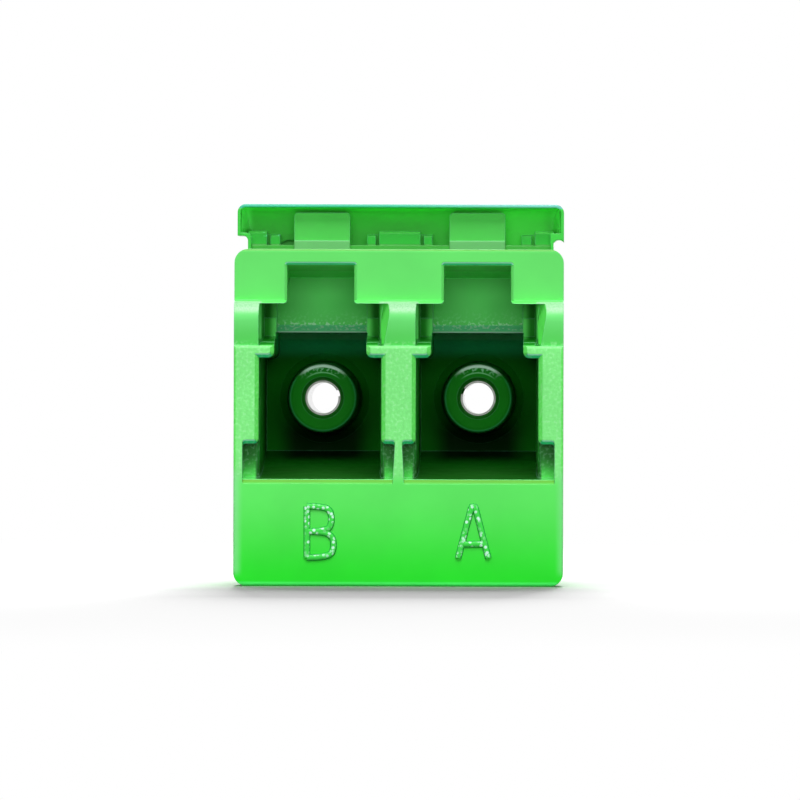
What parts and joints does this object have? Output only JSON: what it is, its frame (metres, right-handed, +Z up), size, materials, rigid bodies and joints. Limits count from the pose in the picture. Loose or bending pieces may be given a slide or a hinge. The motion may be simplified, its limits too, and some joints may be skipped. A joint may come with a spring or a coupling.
{
  "type": "lc duplex fibre adapter",
  "caption": "Snap-in duplex adapter: two side-by-side LC ports at each end, joined by split sleeves, with a panel slot and a latch lever.",
  "frame": {"origin": "centre of the bounding box on the base plane, midway between the two fibre axes and in line with the joint of the two mouldings", "axes": "+Z up, -Y out of the front face that carries the port letters, +X to the right seen from that face"},
  "size_m": [0.0132, 0.026, 0.0153],
  "materials": {
    "housing_plastic": "moulded, satin with spark-eroded posts",
    "rear_plastic": "moulded, satin",
    "sleeve_ceramic": "polished zirconia"
  },
  "bodies": {
    "root": {"front_housing": "housing_plastic", "rear_housing": "rear_plastic", "split_sleeve_a": "sleeve_ceramic", "split_sleeve_b": "sleeve_ceramic"}
  },
  "joints": []
}
